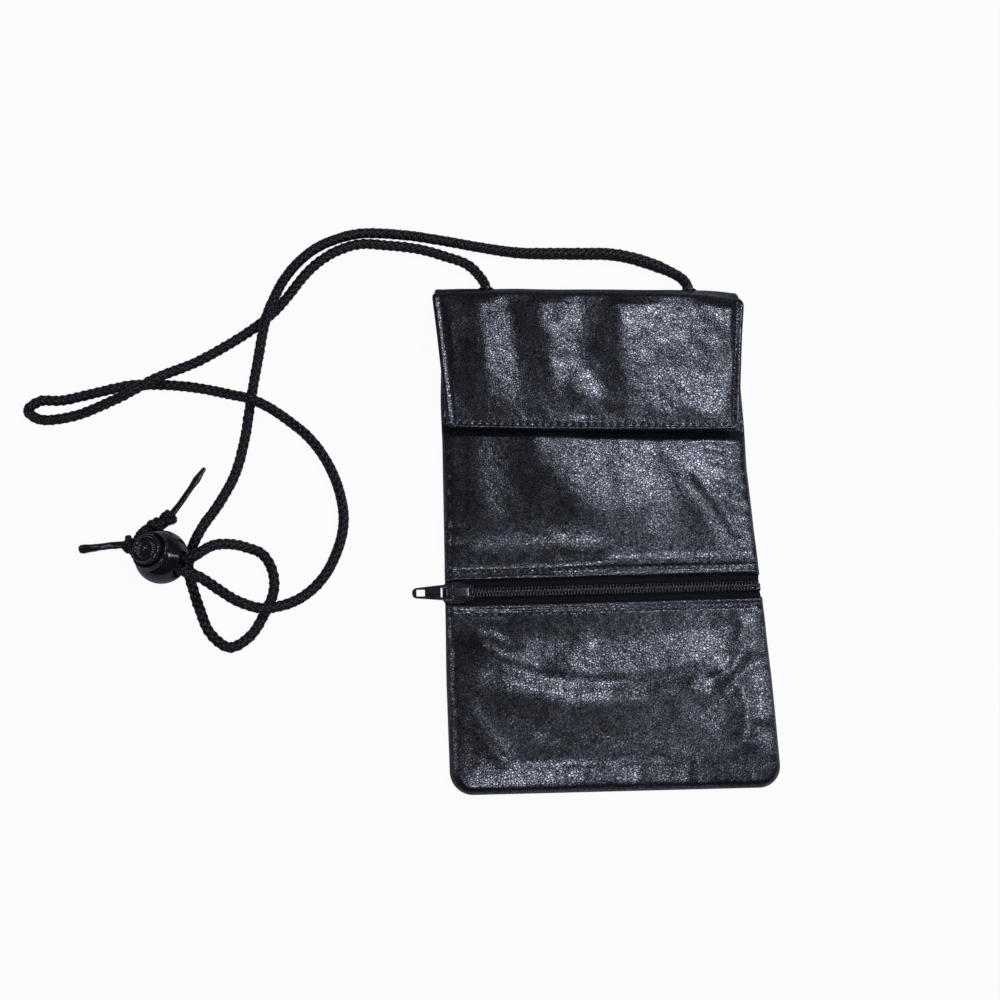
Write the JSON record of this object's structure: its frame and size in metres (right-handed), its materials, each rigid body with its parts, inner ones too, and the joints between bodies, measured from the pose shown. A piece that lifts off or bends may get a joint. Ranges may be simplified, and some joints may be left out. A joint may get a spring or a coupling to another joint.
{
  "type": "neck pouch wallet",
  "caption": "Flat leather neck pouch with a snap flap, a zip pocket across the front and a long braided neck cord held by a push-button ball cord lock.",
  "frame": {"origin": "centre of the back panel's outer face, which is the face the pouch lies on", "axes": "+X right along the zip, +Y up to the flap's fold, +Z out of the front of the pouch"},
  "size_m": [0.3082, 0.2413, 0.0262],
  "materials": {
    "leather": "soft black nappa, fine pebble grain, semi-gloss",
    "lining": "plain black lining cloth",
    "zip_tape": "black woven tape",
    "zip_nylon": "black nylon coil",
    "slider_metal": "gunmetal plating",
    "snap_metal": "nickel plated",
    "magnet": "plated magnet",
    "cord": "black braided nylon",
    "aglet": "black, glossy",
    "lock_plastic": "black, glossy, moulded",
    "spring_steel": "bright spring wire"
  },
  "bodies": {
    "root": {"back_panel": "leather", "back_lining": "lining", "divider_panel": "lining", "front_upper_panel": "leather", "front_lower_panel": "leather", "zip_tape_upper": "zip_tape", "zip_tape_lower": "zip_tape", "zip_coil_upper": "zip_nylon", "zip_coil_lower": "zip_nylon", "snap_socket": "snap_metal", "snap_magnet": "magnet", "snap_socket_washer": "snap_metal", "eyelet_left": "slider_metal", "eyelet_right": "slider_metal", "eyelet_washer_left": "snap_metal", "eyelet_washer_right": "snap_metal", "neck_cord": "cord", "aglet_1": "aglet", "aglet_2": "aglet"},
    "flap": {"flap_outer": "leather", "flap_lining": "lining", "snap_stud": "snap_metal", "snap_stud_washer": "snap_metal"},
    "zip_slider": {"zip_slider_body": "slider_metal", "zip_slider_crown": "slider_metal"},
    "zip_pull": {"zip_pull_tab": "slider_metal"},
    "cord_lock": {"cord_lock_body": "lock_plastic", "cord_lock_spring": "spring_steel"},
    "lock_button": {"cord_lock_button": "lock_plastic"}
  },
  "joints": [
    {"name": "flap_hinge", "type": "hinge", "parent": "root", "child": "flap", "pos_m": [0.0016, 0.1042, 0.0095], "axis": [-0.9994, 0.0349, 0], "range_deg": [0, 160]},
    {"name": "zip_slide", "type": "slide", "parent": "root", "child": "zip_slider", "axis": [1, 0, 0], "range_m": [0, 0.112], "deforming": ["zip_coil_upper", "zip_coil_lower"]},
    {"name": "pull_hinge", "type": "hinge", "parent": "zip_slider", "child": "zip_pull", "pos_m": [-0.0618, -0.0247, 0.00835], "axis": [0, 1, 0], "range_deg": [0, 130]},
    {"name": "cord_lock_slide", "type": "slide", "parent": "root", "child": "cord_lock", "axis": [0.8597, -0.3473, 0.3746], "range_m": [0, 0.01], "deforming": ["neck_cord"]},
    {"name": "button_press", "type": "slide", "parent": "cord_lock", "child": "lock_button", "axis": [0.3473, -0.1403, -0.9272], "range_m": [0, 0.003], "stiffness_N_per_m": 250, "springref_m": -0.001, "deforming": ["cord_lock_spring"]}
  ]
}
